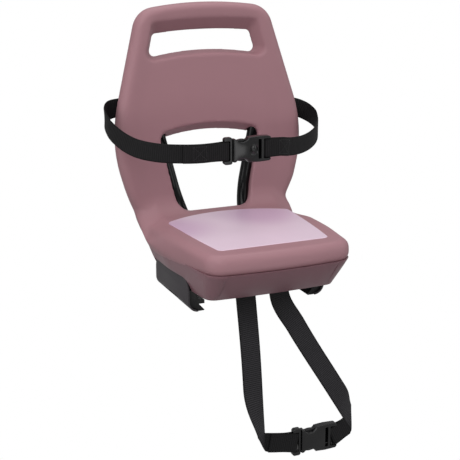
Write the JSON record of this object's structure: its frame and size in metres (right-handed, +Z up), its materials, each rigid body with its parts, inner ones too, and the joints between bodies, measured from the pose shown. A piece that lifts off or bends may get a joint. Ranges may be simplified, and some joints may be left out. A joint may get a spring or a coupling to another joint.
{
  "type": "child bike seat",
  "caption": "Child seat for a bicycle's rear rack: moulded shell with hand grip and window, inlaid pad, tube frame, rail clamps, waist belt and safety strap.",
  "frame": {"origin": "midway between the two rack rails that the clamps hold, at the height of the rails' axes", "axes": "+Z up, -Y the way the seat faces, +X to the right as seen from the front"},
  "size_m": [0.3578, 0.3304, 0.6855],
  "materials": {
    "shell": "satin",
    "pad": "soft satin",
    "base": "semi-gloss",
    "frame": "gloss black",
    "webbing": "woven",
    "buckle": "semi-gloss",
    "black_plastic": "satin",
    "clamp_grey": "matte",
    "zinc": "zinc"
  },
  "bodies": {
    "seat": {"seat_shell": "shell", "seat_pad": "pad", "base_tray": "base", "base_screws": "zinc", "back_frame": "frame", "frame_caps": "black_plastic", "frame_clips": "zinc", "clip_screws": "zinc", "clamp_screws": "zinc", "clamp_washers": "zinc", "belt_right": "webbing", "belt_rear": "webbing", "belt_guide_left": "black_plastic", "belt_guide_right": "black_plastic", "guide_screws": "zinc", "waist_buckle_socket": "buckle", "strap_left_anchor": "webbing", "strap_right": "webbing", "strap_rod": "zinc", "safety_buckle_socket": "buckle"},
    "left_clamp": {"clamp_jaw_left": "black_plastic", "clamp_cover_left": "clamp_grey"},
    "right_clamp": {"clamp_jaw_right": "black_plastic", "clamp_cover_right": "clamp_grey"},
    "waist_plug": {"waist_buckle_plug": "buckle", "belt_left": "webbing"},
    "safety_plug": {"safety_buckle_plug": "buckle", "strap_left": "webbing"}
  },
  "joints": [
    {"name": "left_clamp_slide", "type": "slide", "parent": "seat", "child": "left_clamp", "axis": [1, 0, 0], "range_m": [-0.006, 0.024]},
    {"name": "right_clamp_slide", "type": "slide", "parent": "seat", "child": "right_clamp", "axis": [-1, 0, 0], "range_m": [-0.006, 0.024]},
    {"name": "waist_buckle_release", "type": "slide", "parent": "seat", "child": "waist_plug", "axis": [-1, 0, 0], "range_m": [0, 0.03]},
    {"name": "safety_buckle_release", "type": "slide", "parent": "seat", "child": "safety_plug", "axis": [-1, 0, 0], "range_m": [0, 0.03]}
  ]
}
